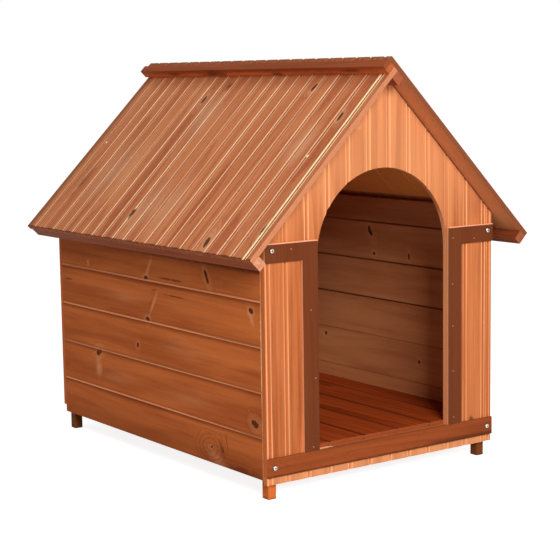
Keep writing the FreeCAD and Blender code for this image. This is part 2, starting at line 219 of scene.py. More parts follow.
# %% [markdown]
# ## Node group: pine grain
# A board is a slice of a trunk, so its grain is a set of rings around a pith that lies somewhere
# behind the board. The group measures the distance to that pith in the cross-section and cuts
# it into rings. On the face this gives long arches and straight lines, and on the sawn ends it
# gives arcs, with no seam between them. Each board has a number, and the number moves the pith
# and the noise, so that no two boards are alike.

# %% Node group: pine grain
SOCKETS = {"number": "NodeSocketFloat", "place": "NodeSocketVector", "colour": "NodeSocketColor"}
GRAIN_MASKS = ("Rings", "Fibres", "Specks", "Clouds", "Streaks", "Tone")


def new_group(name, inputs, outputs):
    """Empty shader group; inputs are (label, kind), outputs are (label, kind)."""
    group = bpy.data.node_groups.new(name, "ShaderNodeTree")
    for label, kind in inputs:
        group.interface.new_socket(label, in_out="INPUT", socket_type=SOCKETS[kind])
    for label, kind in outputs:
        group.interface.new_socket(label, in_out="OUTPUT", socket_type=SOCKETS[kind])
    given = group.nodes.new("NodeGroupInput").outputs
    return group, given, group.nodes.new("NodeGroupOutput").inputs


def use_group(tree, group, values):
    """Puts a group into a material and gives back its outputs."""
    return add_node(tree, "ShaderNodeGroup", values, node_tree=group).outputs


def numbers(*labels):
    """Number sockets with these labels."""
    return [(label, "number") for label in labels]


def make_grain_group():
    """Rings, fibres, clouds and tone of a board at a place along, across and through it."""
    inputs = [("Place", "place")] + numbers("Board", "Ring", "Flow")
    tree, given, result = new_group("pine grain", inputs, numbers(*GRAIN_MASKS))
    luck = add_node(tree, "ShaderNodeTexWhiteNoise", {"W": given["Board"]}, noise_dimensions="1D")
    chance = add_node(tree, "ShaderNodeSeparateColor", {0: luck.outputs["Color"]}).outputs
    jump = vector(tree, "MULTIPLY", luck.outputs["Color"], (9, 9, 9))
    place = vector(tree, "ADD", given["Place"], jump)
    parts = split(tree, given["Place"])
    slow = sums(tree, "SUBTRACT", noise(tree, place, (1.1, 3, 3)), 0.5)
    quick = sums(tree, "SUBTRACT", noise(tree, place, (4, 30, 30)), 0.5)
    across = sums(tree, "MULTIPLY_ADD", sums(tree, "SUBTRACT", chance[0], 0.5), -0.12, parts[1])
    depth = sums(tree, "ADD", parts[2], sums(tree, "MULTIPLY_ADD", chance[1], 0.09, 0.02))
    radius = slant_length(tree, across, depth)
    for part, amount in ((slow, 0.02), (quick, 0.0015), (given["Flow"], 0.008)):
        radius = sums(tree, "MULTIPLY_ADD", part, amount, radius)
    turn = sums(tree, "FRACT", sums(tree, "DIVIDE", radius, given["Ring"]))
    rings = product(tree, between(tree, turn, 0.15, 0.88),
                    between(tree, turn, 0.88, 1.0, 1, 0))
    feed(tree, result["Rings"], rings)
    for mask, long, wide, detail, rough in (
            ("Fibres", 9, 420, 4, 0.6), ("Specks", 80, 260, 3, 0.6),
            ("Clouds", 2.4, 17, 3, 0.55), ("Streaks", 1.6, 75, 3, 0.6)):
        feed(tree, result[mask], noise(tree, place, (long, wide, wide), detail, rough))
    feed(tree, result["Tone"], chance[2])
    return tree


PINE_GRAIN = make_grain_group()
print("group", PINE_GRAIN.name, "with", len(PINE_GRAIN.nodes), "nodes")

# %% [markdown]
# ## Node group: knots
# A knot is where a branch left the trunk: a dark oval with a darker rim, in lighter wood that
# flows around it. All knots of a surface share one set of masks. For each knot a Mapping node
# turns and scales the board so that the knot becomes a unit circle, and the smallest of all
# distances to these circles is the distance to the nearest knot.

# %% Node group: knots
def make_knot_group():
    """Masks of a knot, from the distance to its middle in radii."""
    tree, given, result = new_group("knot masks", numbers("Distance", "Ragged"),
                                    numbers("Core", "Rim", "Halo", "Flow"))
    ragged = product(tree, sums(tree, "SUBTRACT", given["Ragged"], 0.5), 1.5)
    away = sums(tree, "ADD", given["Distance"], ragged)
    rim_gap = apart(tree, away, 0.85)
    feed(tree, result["Core"], between(tree, away, 0.55, 1.1, 1, 0))
    feed(tree, result["Rim"], between(tree, rim_gap, 0.02, 0.25, 1, 0))
    feed(tree, result["Halo"], between(tree, away, 1.1, 3.2, 1, 0))
    feed(tree, result["Flow"], between(tree, given["Distance"], 0.4, 4.0, 1, 0))
    return tree


KNOT_MASKS = make_knot_group()
FAR_AWAY = 9.0           # in radii, where a surface has no mark at all
MARK_DEPTH = 0.05        # keeps a mark of one half of the house off the other half


def nearest_mark(tree, place, marks):
    """Distance to the nearest mark in radii; a mark is (side, along, across, two radii, slant)."""
    nearest = FAR_AWAY
    for side, along, across, half_length, half_width, slant in marks:
        inputs = {"Vector": place, "Location": (along, across, side),
                  "Rotation": (0, 0, math.radians(slant)),
                  "Scale": (half_length, half_width, MARK_DEPTH)}
        circle = add_node(tree, "ShaderNodeMapping", inputs, vector_type="TEXTURE")
        away = add_node(tree, "ShaderNodeVectorMath", {0: circle.outputs[0]}, operation="LENGTH")
        nearest = sums(tree, "MINIMUM", away.outputs["Value"], nearest)
    return nearest


print("group", KNOT_MASKS.name, "with", len(KNOT_MASKS.nodes), "nodes")

# %% [markdown]
# ## Node group: stain on the grain
# The stain soaks deeper into the soft early wood than into the hard late wood, so the rings,
# the fibres and the long streaks show as darker and lighter tones of one colour. A knot takes
# little stain, but it is dark of itself.

# %% Node group: stain on the grain
KNOT_CORE, KNOT_RIM = paint(74, 20, 2), paint(50, 10, 0)


def make_stain_group():
    """Colour of the stained wood from the masks of its grain and knots."""
    masks = numbers(*GRAIN_MASKS, "Core", "Rim", "Halo",
                    "Contrast", "Streaky", "Speckled", "Cloudy")
    colours = [("Light", "colour"), ("Dark", "colour"), ("Pale", "colour")]
    tree, given, result = new_group("stain on the grain", masks + colours, [("Colour", "colour")])
    amount = product(tree, given["Rings"], given["Contrast"])
    fibres = between(tree, given["Fibres"], 0.35, 0.72)
    strength = sums(tree, "MULTIPLY_ADD", given["Streaky"], 0.5, 0.1)
    amount = sums(tree, "MULTIPLY_ADD", fibres, strength, amount)
    for mask, low, high, weight in (("Specks", 0.50, 0.68, "Speckled"),
                                    ("Streaks", 0.42, 0.70, "Streaky"),
                                    ("Clouds", 0.38, 0.68, "Cloudy")):
        part = between(tree, given[mask], low, high)
        amount = sums(tree, "MULTIPLY_ADD", part, given[weight], amount)
    amount = sums(tree, "MULTIPLY_ADD", given["Tone"], 0.20, amount)
    colour = blend_colour(tree, amount, given["Light"], given["Dark"])
    for mask, share, shade in (("Halo", 0.16, given["Pale"]), ("Core", 0.9, KNOT_CORE),
                               ("Rim", 0.85, KNOT_RIM)):
        colour = blend_colour(tree, product(tree, given[mask], share), colour, shade)
    feed(tree, result["Colour"], colour)
    return tree


STAIN_ON_GRAIN = make_stain_group()
print("group", STAIN_ON_GRAIN.name, "with", len(STAIN_ON_GRAIN.nodes), "nodes")

# %% [markdown]
# ## Node group: worn vees
# The boards meet in a vee, and a second vee runs down the middle of each board. Where the edges
# of a vee stand out, handling and sanding take the stain off, so each vee shows as two thin pale
# lines with a dark line between them. How much has worn off changes from line to line.

# %% Node group: worn vees
def make_vee_group():
    """Masks of the pale and dark lines, from the distance to the middle of the vee."""
    tree, given, result = new_group("worn vees", numbers("Gap", "Patch", "Worn"),
                                    numbers("Pale", "Dark"))
    line = product(tree, between(tree, given["Gap"], 0.0026, 0.0036),
                   between(tree, given["Gap"], 0.0048, 0.0062, 1, 0))
    worn = product(tree, given["Worn"], between(tree, given["Patch"], 0.32, 0.62, 0.22, 1))
    feed(tree, result["Pale"], product(tree, line, worn))
    feed(tree, result["Dark"], between(tree, given["Gap"], 0.0014, 0.0030, 0.75, 0))
    return tree


WORN_VEES = make_vee_group()
print("group", WORN_VEES.name, "with", len(WORN_VEES.nodes), "nodes")

# %% [markdown]
# ## Node group: flat joints
# The boards of the walls and the floor have no vees and meet flush. Outside, a joint shows as a
# thin worn line in a shaded band, and the band is wider below the joint than above it. Inside,
# where nothing has rubbed, the joint is a dark line.

# %% Node group: flat joints
def make_joint_group():
    """Masks of a joint of flat boards, from the place between its lower and upper edge."""
    tree, given, result = new_group("flat joints", numbers("Local", "Half", "Patch"),
                                    numbers("Worn", "Shade", "Dark"))
    up = sums(tree, "SUBTRACT", given["Half"], given["Local"])
    down = sums(tree, "ADD", given["Half"], given["Local"])
    gap = sums(tree, "MINIMUM", up, down)
    feed(tree, result["Worn"], product(tree, between(tree, gap, 0.0010, 0.0022, 1, 0),
                                       between(tree, given["Patch"], 0.32, 0.56, 0.42, 1)))
    feed(tree, result["Shade"], sums(tree, "MAXIMUM", between(tree, up, 0.002, 0.012, 0.7, 0),
                                     between(tree, down, 0.001, 0.007, 0.35, 0)))
    feed(tree, result["Dark"], product(tree, between(tree, gap, 0.0008, 0.0024, 1, 0),
                                       between(tree, given["Patch"], 0.36, 0.58, 0.35, 0.9)))
    return tree


FLAT_JOINTS = make_joint_group()
print("group", FLAT_JOINTS.name, "with", len(FLAT_JOINTS.nodes), "nodes")

# %% [markdown]
# ## Node group: faces of a board
# A board is not stained alike on all its faces. The sawn ends drink the stain and turn dark or,
# where they were cut later, stay pale and rough. The long edges and the backs are seen at the
# doorway and under the roof. The group tells these faces apart by their direction.

# %% Node group: faces of a board
def make_face_group():
    """Masks of the face, the back, the long edges and the sawn ends of a board."""
    inputs = [(label, "place") for label in ("Normal", "Along", "Across", "Through")]
    tree, given, result = new_group("faces of a board", inputs,
                                    numbers("Outer", "Back", "Edge", "Sawn"))
    out = dot(tree, given["Normal"], given["Through"])
    feed(tree, result["Outer"], between(tree, out, 0.3, 0.6))
    feed(tree, result["Back"], between(tree, out, -0.6, -0.3, 1, 0))
    across = sums(tree, "ABSOLUTE", dot(tree, given["Normal"], given["Across"]))
    feed(tree, result["Edge"], between(tree, across, 0.86, 0.95))
    along = sums(tree, "ABSOLUTE", dot(tree, given["Normal"], given["Along"]))
    feed(tree, result["Sawn"], between(tree, along, 0.75, 0.95))
    return tree


FACES = make_face_group()
print("group", FACES.name, "with", len(FACES.nodes), "nodes")

# %% [markdown]
# ## A material of stained wood
# One function joins the groups into a material. It is told the three directions of the wood,
# how the boards are laid, where the knots are, and which colours the stain has. The two halves
# of the house are folded onto each other first, so that one set of directions serves both. On
# top of the grain come haze and marks, the lines where boards meet, and the tints of the faces.

# %% How a piece lies
X, Y, Z = (1, 0, 0), (0, 1, 0), (0, 0, 1)
UP_SLOPE = (-HALF, 0, HALF)
OFF_SLOPE = (HALF, 0, HALF)
DOWN_LEFT = (-HALF, 0, -HALF)


def folded(tree, value, far, axis):
    """Vector with one of its directions turned round on the near half of the house."""
    turn = sums(tree, "MULTIPLY_ADD", far, 2, -1)
    signs = add_node(tree, "ShaderNodeCombineXYZ", {0: 1, 1: 1, 2: 1, axis: turn}).outputs[0]
    return vector(tree, "MULTIPLY", value, signs)


def lie_of_wood(tree, axes, half):
    """Place along, across and through the wood, the far half of the house, and face masks."""
    place = add_node(tree, "ShaderNodeTexCoord").outputs["Object"]
    normal = add_node(tree, "ShaderNodeNewGeometry").outputs["True Normal"]
    far = sums(tree, "GREATER_THAN", dot(tree, place, half[0]), half[1])
    if half[2] is not None:
        place = folded(tree, place, far, half[2])
        normal = folded(tree, normal, far, half[2])
    faces = use_group(tree, FACES, {"Normal": normal, "Along": axes[0], "Across": axes[1],
                                    "Through": axes[2]})
    return [dot(tree, place, axis) for axis in axes] + [far, faces]


def board_numbers(tree, across, first, cover):
    """Number of the board at a place, and the distance to its middle."""
    steps = sums(tree, "DIVIDE", sums(tree, "SUBTRACT", across, first), cover)
    number = sums(tree, "FLOOR", steps)
    middle = sums(tree, "SUBTRACT", sums(tree, "SUBTRACT", steps, number), 0.5)
    return number, product(tree, middle, cover)


print("lie of wood ready")

# %% Tints, marks and lines on top of the stain
JOINT_SHADE, JOINT_DARK = paint(120, 46, 16), paint(48, 16, 5)
DARK_MARK, SWIRL_LINE = paint(92, 38, 18), paint(104, 42, 16)
SWIRL_STEP = 0.11        # gap between the rings of a swirl, as a share of its radius


def tint(tree, colour, mask, amount, shade):
    """Blends a colour in where a mask is, by a given amount."""
    return blend_colour(tree, product(tree, mask, amount), colour, shade)


def vee_lines(tree, colour, gap, patch, worn, outer, pale, dark):
    """Worn vees on the outer face only."""
    lines = use_group(tree, WORN_VEES, {"Gap": gap, "Patch": patch, "Worn": worn})
    for line, shade in (("Pale", pale), ("Dark", dark)):
        colour = tint(tree, colour, product(tree, lines[line], outer), 1.0, shade)
    return colour


def plain_joints(tree, colour, local, half, patch, faces, pale, inner):
    """A thin worn line over a shaded band outside, a dark line inside."""
    lines = use_group(tree, FLAT_JOINTS, {"Local": local, "Half": half, "Patch": patch})
    colour = tint(tree, colour, lines["Shade"], faces["Outer"], JOINT_SHADE)
    colour = tint(tree, colour, lines["Worn"], faces["Outer"], pale)
    dark = product(tree, lines["Dark"], inner)
    return tint(tree, colour, dark, faces["Back"], JOINT_DARK)


def marks_mask(tree, flat, marks, wobble, amount, limits, strength):
    """Strength inside the marks, 0 beyond two limits that a noise makes ragged."""
    away = sums(tree, "MULTIPLY_ADD", wobble, amount, nearest_mark(tree, flat, marks))
    return between(tree, away, *limits, strength, 0)


def swirl_lines(tree, flat, ragged, swirls):
    """Rings of the grain around a place where it turns."""
    away = sums(tree, "MULTIPLY_ADD", ragged, 0.25, nearest_mark(tree, flat, swirls))
    rings = between(tree, sums(tree, "PINGPONG", away, SWIRL_STEP), 0.06, SWIRL_STEP)
    return product(tree, rings, between(tree, away, 0.7, 1.3, 0.4, 0))


print("tints ready")

# %% The material itself
WHOLE = (X, 0.0, None)   # a piece that isn't folded
FAR_BOARDS = 40.0        # added to the board numbers of the far half


def stained_wood(name, axes, stain, half=WHOLE, boards=None, vees=None, bead=None, knots=(),
                 haze=(), pale_marks=(), dark_marks=(), swirls=(), worn=0.8, seed=0.0,
                 rough=0.55, gloss=0.04, ring=0.003, contrast=0.3, streaky=0.2, speckled=0.05,
                 cloudy=0.25, vee_dark=(140, 68, 36), ends=(112, 60, 36), back=None, edges=None,
                 clear_joints=(-2, -1), extra=None):
    """Wood with grain, knots, lines and sawn ends; stain is (light, dark, worn) colours."""
    material, tree, shader = new_material(name)
    light, dark, pale = stain
    length, width, depth, far, faces = lie_of_wood(tree, axes, half)
    outer = faces["Outer"]
    board, local = (0.0, width) if boards is None else board_numbers(tree, width, *boards)
    board = sums(tree, "ADD", sums(tree, "MULTIPLY_ADD", far, FAR_BOARDS, board), seed)
    flat = add_node(tree, "ShaderNodeCombineXYZ", {0: length, 1: width, 2: far}).outputs[0]
    inside = add_node(tree, "ShaderNodeCombineXYZ", {0: length, 1: local, 2: depth}).outputs[0]
    ragged = noise(tree, inside, (60, 110, 110), detail=3, rough=0.6)
    patch = noise(tree, flat, (1.6, 150, 7))

    nearest = nearest_mark(tree, flat, knots)
    masks = use_group(tree, KNOT_MASKS, {"Distance": nearest, "Ragged": ragged})
    flow = masks["Flow"]
    if swirls:
        turning = between(tree, nearest_mark(tree, flat, swirls), 0.0, 1.0, 4.0, 0)
        flow = sums(tree, "ADD", flow, turning)
    grown = use_group(tree, PINE_GRAIN,
                      {"Place": inside, "Board": board, "Ring": ring, "Flow": flow})
    values = {mask: grown[mask] for mask in GRAIN_MASKS}
    values.update({mask: masks[mask] for mask in ("Core", "Rim", "Halo")})
    values.update({"Contrast": contrast, "Streaky": streaky, "Speckled": speckled,
                   "Cloudy": cloudy, "Light": light, "Dark": dark, "Pale": pale})
    if back:
        for tone, front_shade, back_shade in (("Light", light, back[0]), ("Dark", dark, back[1])):
            values[tone] = blend_colour(tree, faces["Back"], front_shade, paint(*back_shade))
    colour = use_group(tree, STAIN_ON_GRAIN, values)["Colour"]

    if haze:
        mist = marks_mask(tree, flat, haze, grown["Clouds"], 2.4, (1.0, 2.4), 0.2)
        colour = tint(tree, colour, mist, outer, pale)
    if pale_marks:
        spots = marks_mask(tree, flat, pale_marks, ragged, 1.2, (0.6, 1.9), 0.42)
        spots = product(tree, spots, sums(tree, "SUBTRACT", 1, masks["Core"]))
        colour = tint(tree, colour, spots, outer, pale)
    if dark_marks:
        spots = marks_mask(tree, flat, dark_marks, ragged, 1.6, (0.9, 1.8), 0.75)
        colour = tint(tree, colour, spots, outer, DARK_MARK)
    if swirls:
        colour = tint(tree, colour, swirl_lines(tree, flat, ragged, swirls), outer, SWIRL_LINE)

    if vees:
        first, step = vees
        worn = sums(tree, "MULTIPLY_ADD", masks["Core"], -1, worn)
        gap = sums(tree, "PINGPONG", sums(tree, "SUBTRACT", width, first), step / 2)
        if bead:
            edge = apart(tree, sums(tree, "ABSOLUTE", width), bead)
            gap = sums(tree, "MINIMUM", gap, edge)
        colour = vee_lines(tree, colour, gap, patch, worn, outer, pale, paint(*vee_dark))
    elif boards:
        inner = between(tree, width, *clear_joints, 0.3, 1)
        colour = plain_joints(tree, colour, local, boards[1] / 2, patch, faces, pale, inner)
    if edges:
        colour = tint(tree, colour, faces["Edge"], 0.7, paint(*edges))
    grit = between(tree, ragged, 0.35, 0.65, 0.55, 1)
    sawn = product(tree, faces["Sawn"], grit)
    colour = tint(tree, colour, sawn, 0.9, paint(*ends))
    if extra:
        colour = extra(tree, colour, length, width, ragged, far, faces)

    feed(tree, shader.inputs["Base Color"], colour)
    roughness = between(tree, grown["Fibres"], 0.2, 0.8, rough - 0.06, rough + 0.1)
    feed(tree, shader.inputs["Roughness"], roughness)
    shader.inputs["Specular IOR Level"].default_value = gloss
    height = sums(tree, "MULTIPLY_ADD", grown["Rings"], 0.4, grown["Fibres"])
    height = sums(tree, "MULTIPLY_ADD", masks["Rim"], -0.3, height)
    bump = add_node(tree, "ShaderNodeBump", {"Height": height, "Strength": 0.3, "Distance": 0.0006})
    feed(tree, shader.inputs["Normal"], bump.outputs[0])
    return material


print("stained wood ready")

# %% [markdown]
# ## What is special to one place
# Weather and use leave traces that belong to one place, and so do painted light and shade, so each
# finish can bring a function of its own that tints the wood last. The roof is chipped along its
# lower edge and pale in a double line along its front; it has painted shade just below the ridge
# strip and painted light on its underside inside the house. The walls carry a painted shadow under
# the eave and are bare at their front ends. The panels are lighter in the gable and at the foot,
# carry painted shade along the roof slopes, and are bare on the cut edges of the doorway. The arms
# of the trims are pale along their tops and the low trim is dark along its lower edge, the ridge
# strip is greyer at its top, feet in the shade are painted darker, and dirt has climbed up the
# feet.

# %% The roof boards
CHIPPED, REAR_GREY, RIDGE_SHADE = paint(84, 34, 14), paint(104, 58, 36), paint(146, 76, 44)
LEFT_FRONT, RIGHT_FRONT = paint(194, 130, 94), paint(128, 70, 44)
VERGE_PALE, INDOOR_PAINTED_LIGHT = paint(255, 232, 180), paint(255, 162, 80)
VERGE_LINE = ROOF_FRONT + 0.019
INDOOR_DEPTH = -PANEL_FRONT - BOARD
INDOOR_LOW = (APEX - 2 * (HALF_WIDTH - 2 * BOARD)) * HALF


def moved(tree, value, ragged, amount):
    """A place that a noise moves by up to the given amount."""
    return sums(tree, "MULTIPLY_ADD", ragged, amount, value)


def roof_extra(tree, colour, length, width, ragged, far, faces):
    """Chipped lower edge, painted shade below the ridge strip, front edges in the tone of each
    side, verge line, painted light inside.
    """
    outer = faces["Outer"]
    chips = sums(tree, "SUBTRACT", length, moved(tree, SLOPE_LOW - 0.001, ragged, 0.006))
    colour = tint(tree, colour, between(tree, chips, 0.0, 0.0022, 0.85, 0), outer, CHIPPED)
    rear = moved(tree, width, ragged, 0.010)
    rear = between(tree, rear, ROOF_REAR - 0.020, ROOF_REAR - 0.006, 0, 0.55)
    colour = tint(tree, colour, rear, outer, REAR_GREY)
    # Painted shade on the roof just below the ridge strip.
    high = moved(tree, length, ragged, 0.030)
    high = between(tree, high, SLOPE_HIGH - 0.050, SLOPE_HIGH - 0.016, 0, 0.4)
    colour = tint(tree, colour, high, outer, RIDGE_SHADE)
    front = sums(tree, "LESS_THAN", width, ROOF_FRONT + 0.001)
    front = product(tree, faces["Edge"], front)
    right = product(tree, front, far)
    left = sums(tree, "SUBTRACT", front, right)
    left = product(tree, left, between(tree, ragged, 0.35, 0.65, 0.6, 1))
    colour = tint(tree, colour, left, 0.9, LEFT_FRONT)
    colour = tint(tree, colour, right, 0.95, RIGHT_FRONT)
    verge = apart(tree, width, VERGE_LINE)
    line = product(tree, between(tree, verge, 0.0020, 0.0030),
                   between(tree, verge, 0.0056, 0.0068, 1, 0))
    line = product(tree, line, between(tree, ragged, 0.3, 0.5, 0.7, 1))
    colour = tint(tree, colour, line, outer, VERGE_PALE)
    # Painted light: the underside inside the house is lightened and warmed.
    indoors = sums(tree, "LESS_THAN", sums(tree, "ABSOLUTE", width), INDOOR_DEPTH)
    above = sums(tree, "GREATER_THAN", length, INDOOR_LOW)
    inner = product(tree, faces["Back"], product(tree, indoors, above))
    return tint(tree, colour, inner, 0.95, INDOOR_PAINTED_LIGHT)


print("roof boards ready")

# %% The walls and the panels
EAVE_SHADE, WALL_FOOT, BARE_END = paint(62, 22, 6), paint(118, 54, 22), paint(255, 200, 140)
GABLE_PALE, SLOPE_SHADE = paint(250, 176, 122), paint(96, 40, 16)
DOOR_EDGE, SIDE_EDGE, SILL_EDGE = paint(242, 166, 116), paint(206, 104, 50), paint(255, 200, 156)
SHADOW_CLIMB = 0.014     # rise of the eave shadow's lower limit per metre towards the rear
BARE_HEIGHT = 0.27       # where the front ends of the walls are most worn
DOOR_REACH = 0.2         # wider than half the doorway, narrower than half the panel


def wall_extra(tree, colour, length, width, ragged, far, faces):
    """Painted shadow under the eave, and bare wood at the front ends."""
    outer = faces["Outer"]
    rise = moved(tree, width, ragged, 0.006)
    shade = sums(tree, "MULTIPLY_ADD", length, -SHADOW_CLIMB, rise)
    shade = between(tree, shade, SHADOW_TOP - 0.014, SHADOW_TOP)
    colour = tint(tree, colour, shade, outer, EAVE_SHADE)
    colour = tint(tree, colour, between(tree, rise, 0.042, 0.110, 0.4, 0), outer, WALL_FOOT)
    bare = moved(tree, length, ragged, -0.0030)
    bare = between(tree, bare, WALL_FRONT, WALL_FRONT + 0.0012, 1, 0)
    middle = between(tree, apart(tree, width, BARE_HEIGHT), 0.05, 0.11, 1, 0.3)
    return tint(tree, colour, product(tree, bare, middle), outer, BARE_END)


def gable_extra(tree, colour, length, width, ragged, far, faces):
    """Lighter boards in the gable and at the foot, painted shade along the roof slopes, bare edges
    of the doorway and the sides.
    """
    edge = faces["Edge"]
    beside = sums(tree, "ABSOLUTE", width)
    pale = sums(tree, "MAXIMUM", between(tree, length, 0.42, 0.62, 0, 0.32),
                between(tree, length, 0.044, 0.048, 0.4, 0))
    colour = tint(tree, colour, pale, 1.0, GABLE_PALE)
    # Painted shade on the panel just below the roof slopes.
    under = moved(tree, sums(tree, "ADD", length, beside), ragged, 0.004)
    under = between(tree, under, APEX - 0.0040, APEX - 0.0005, 0, 0.85)
    colour = tint(tree, colour, under, faces["Outer"], SLOPE_SHADE)
    door = sums(tree, "LESS_THAN", beside, DOOR_REACH)
    cut = product(tree, edge, door)
    colour = tint(tree, colour, cut, 0.6, DOOR_EDGE)
    colour = tint(tree, colour, sums(tree, "SUBTRACT", edge, cut), 0.7, SIDE_EDGE)
    sill = product(tree, faces["Sawn"], between(tree, width, -0.130, -0.122, 1, 0))
    return tint(tree, colour, product(tree, sill, door), 0.9, SILL_EDGE)


print("walls and panels ready")

# %% The trims, the ridge strip and the posts
ARM_TOP_PALE, STRIP_GREY = paint(250, 184, 144), paint(118, 62, 36)
LOW_EDGE_DARK, CORNER_DIRT = paint(88, 36, 14), paint(92, 46, 22)
SHADED_FOOT, GROUND_DIRT = paint(92, 52, 28), paint(104, 58, 30)


def trim_extra(tree, colour, length, width, ragged, far, faces):
    """A pale band along the upper edges of the arms."""
    bare = between(tree, length, ARM_TOP - 0.0022, ARM_TOP - 0.0014, 0, 0.85)
    return tint(tree, colour, bare, 1.0, ARM_TOP_PALE)


def strip_extra(tree, colour, length, width, ragged, far, faces):
    """The strip is greyer towards its top."""
    high = between(tree, moved(tree, width, ragged, 0.006), 0.570, 0.580, 0, 0.7)
    return tint(tree, colour, high, 1.0, STRIP_GREY)


def low_trim_extra(tree, colour, length, width, ragged, far, faces):
    """Dark lower edge and a stained lower right corner."""
    rise = moved(tree, width, ragged, -0.004)
    colour = tint(tree, colour, between(tree, rise, 0.0445, 0.0475, 0.7, 0), 1.0, LOW_EDGE_DARK)
    right = between(tree, moved(tree, length, ragged, 0.2), 0.16, 0.26)
    corner = product(tree, between(tree, rise, 0.048, 0.054, 0.7, 0), right)
    return tint(tree, colour, corner, 1.0, CORNER_DIRT)


def post_extra(tree, colour, length, width, ragged, far, faces):
    """Feet that stand in the shade are darker; dirt has climbed up from the ground."""
    away = sums(tree, "MAXIMUM", far, sums(tree, "GREATER_THAN", width, 0.0))
    colour = tint(tree, colour, away, 0.85, SHADED_FOOT)
    dirt = between(tree, moved(tree, length, ragged, 0.012), 0.006, 0.012, 0.5, 0)
    return tint(tree, colour, dirt, 1.0, GROUND_DIRT)


print("trims and posts ready")

# %% [markdown]
# ## The finishes of the house
# The stain is one warm orange-brown. What changes from piece to piece is the direction of the
# wood, the layout of the boards and how much of the stain has worn off. Each knot is written as
# its half of the house, its place along and across the boards, its two radii and its slant.

# %% Knots and marks
ROOF_KNOTS = [
    (0, 0.150, 0.049, 0.014, 0.0065, 0), (0, 0.109, -0.269, 0.014, 0.0055, 8),
    (0, 0.149, -0.407, 0.012, 0.0045, 0), (0, 0.466, 0.117, 0.012, 0.0040, 0),
    (0, 0.426, -0.383, 0.010, 0.0045, 10), (0, 0.500, -0.236, 0.010, 0.0045, -10),
    (1, 0.200, -0.150, 0.014, 0.0050, 5), (1, 0.300, 0.190, 0.013, 0.0045, 0),
    (1, 0.120, 0.330, 0.011, 0.0045, -8), (1, 0.460, -0.330, 0.012, 0.0040, 0),
]
ROOF_HAZE = [
    (0, 0.430, 0.080, 0.070, 0.060, 0), (0, 0.355, -0.330, 0.060, 0.030, 0),
    (0, 0.170, -0.020, 0.080, 0.070, 0), (0, 0.250, 0.240, 0.090, 0.060, 0),
]
ROOF_MARKS = [(0, 0.224, 0.341, 0.060, 0.014, 0), (0, 0.505, 0.060, 0.020, 0.012, 0)]
WALL_KNOTS = [
    (0, 0.020, 0.373, 0.007, 0.0045, 0), (0, -0.202, 0.399, 0.014, 0.0045, 62),
    (0, -0.349, 0.349, 0.007, 0.0050, 40), (0, 0.059, 0.231, 0.0045, 0.0045, 0),
    (0, 0.223, 0.194, 0.011, 0.0075, -20), (0, -0.356, 0.140, 0.010, 0.0070, 10),
    (0, 0.016, 0.288, 0.007, 0.0060, 0), (0, -0.210, 0.069, 0.003, 0.0030, 0),
    (1, -0.021, 0.432, 0.012, 0.0055, 60), (1, -0.034, 0.384, 0.004, 0.0040, 0),
    (1, -0.151, 0.386, 0.008, 0.0030, 80), (1, 0.141, 0.184, 0.004, 0.0040, 0),
    (1, -0.183, 0.163, 0.004, 0.0040, 0), (1, 0.230, 0.300, 0.008, 0.0060, 20),
    (1, 0.310, 0.120, 0.006, 0.0050, 0),
]
WALL_PALE = [
    (0, -0.005, 0.322, 0.040, 0.0045, -57), (0, 0.260, 0.384, 0.008, 0.0080, 0),
    (0, 0.225, 0.160, 0.016, 0.0260, 0), (0, -0.225, 0.050, 0.045, 0.0160, 30),
    (0, 0.010, 0.395, 0.030, 0.0060, -60), (0, -0.349, 0.335, 0.020, 0.0060, 60),
]
WALL_HAZE = [
    (0, -0.080, 0.240, 0.130, 0.026, 0), (0, 0.150, 0.150, 0.110, 0.020, 0),
    (0, -0.130, 0.150, 0.120, 0.024, 0), (0, 0.120, 0.320, 0.100, 0.020, 0),
]
WALL_SWIRLS = [(0, -0.205, 0.068, 0.060, 0.040, 0)]
WALL_MARKS = [
    (0, 0.002, 0.328, 0.022, 0.0012, -57), (0, -0.262, 0.085, 0.024, 0.0022, 80),
    (0, -0.075, 0.379, 0.075, 0.0030, 0), (0, 0.350, 0.339, 0.030, 0.0030, 0),
    (0, -0.315, 0.040, 0.080, 0.0180, 0), (0, -0.245, 0.072, 0.020, 0.0080, 60),
    (0, -0.010, 0.352, 0.014, 0.0030, -10), (0, -0.090, 0.347, 0.060, 0.0020, 0),
]
STRIP_MARKS = [(0, 0.139, 0.570, 0.065, 0.014, 0), (0, 0.300, 0.570, 0.035, 0.007, 0),
               (0, -0.090, 0.566, 0.026, 0.008, 0), (0, -0.330, 0.572, 0.040, 0.007, 0)]
GABLE_KNOTS = [(0, 0.688, -0.063, 0.005, 0.0045, 0), (1, 0.330, 0.060, 0.012, 0.0080, 0),
               (1, 0.180, -0.140, 0.009, 0.0060, 0)]
GABLE_MARKS = [(0, 0.079, 0.229, 0.012, 0.0140, 40)]
print(len(ROOF_KNOTS + WALL_KNOTS + GABLE_KNOTS), "knots")

# %% Stains
def stain(light, dark, worn):
    """Three colours of a stain: light wood, dark wood and worn edges."""
    return paint(*light), paint(*dark), paint(*worn)


ROOF_STAIN = stain((221, 140, 92), (168, 82, 48), (255, 218, 176))
GABLE_STAIN = stain((216, 130, 78), (160, 80, 40), (255, 184, 130))
WALL_STAIN = stain((219, 120, 61), (142, 60, 24), (250, 176, 124))
FLOOR_STAIN = stain((186, 80, 32), (116, 42, 14), (58, 18, 6))
POST_STAIN = stain((222, 118, 56), (154, 74, 32), (226, 158, 104))
BATTEN_STAIN = stain((164, 84, 48), (104, 46, 24), (200, 130, 90))
RAIL_STAIN = stain((214, 142, 92), (160, 88, 48), (200, 130, 90))
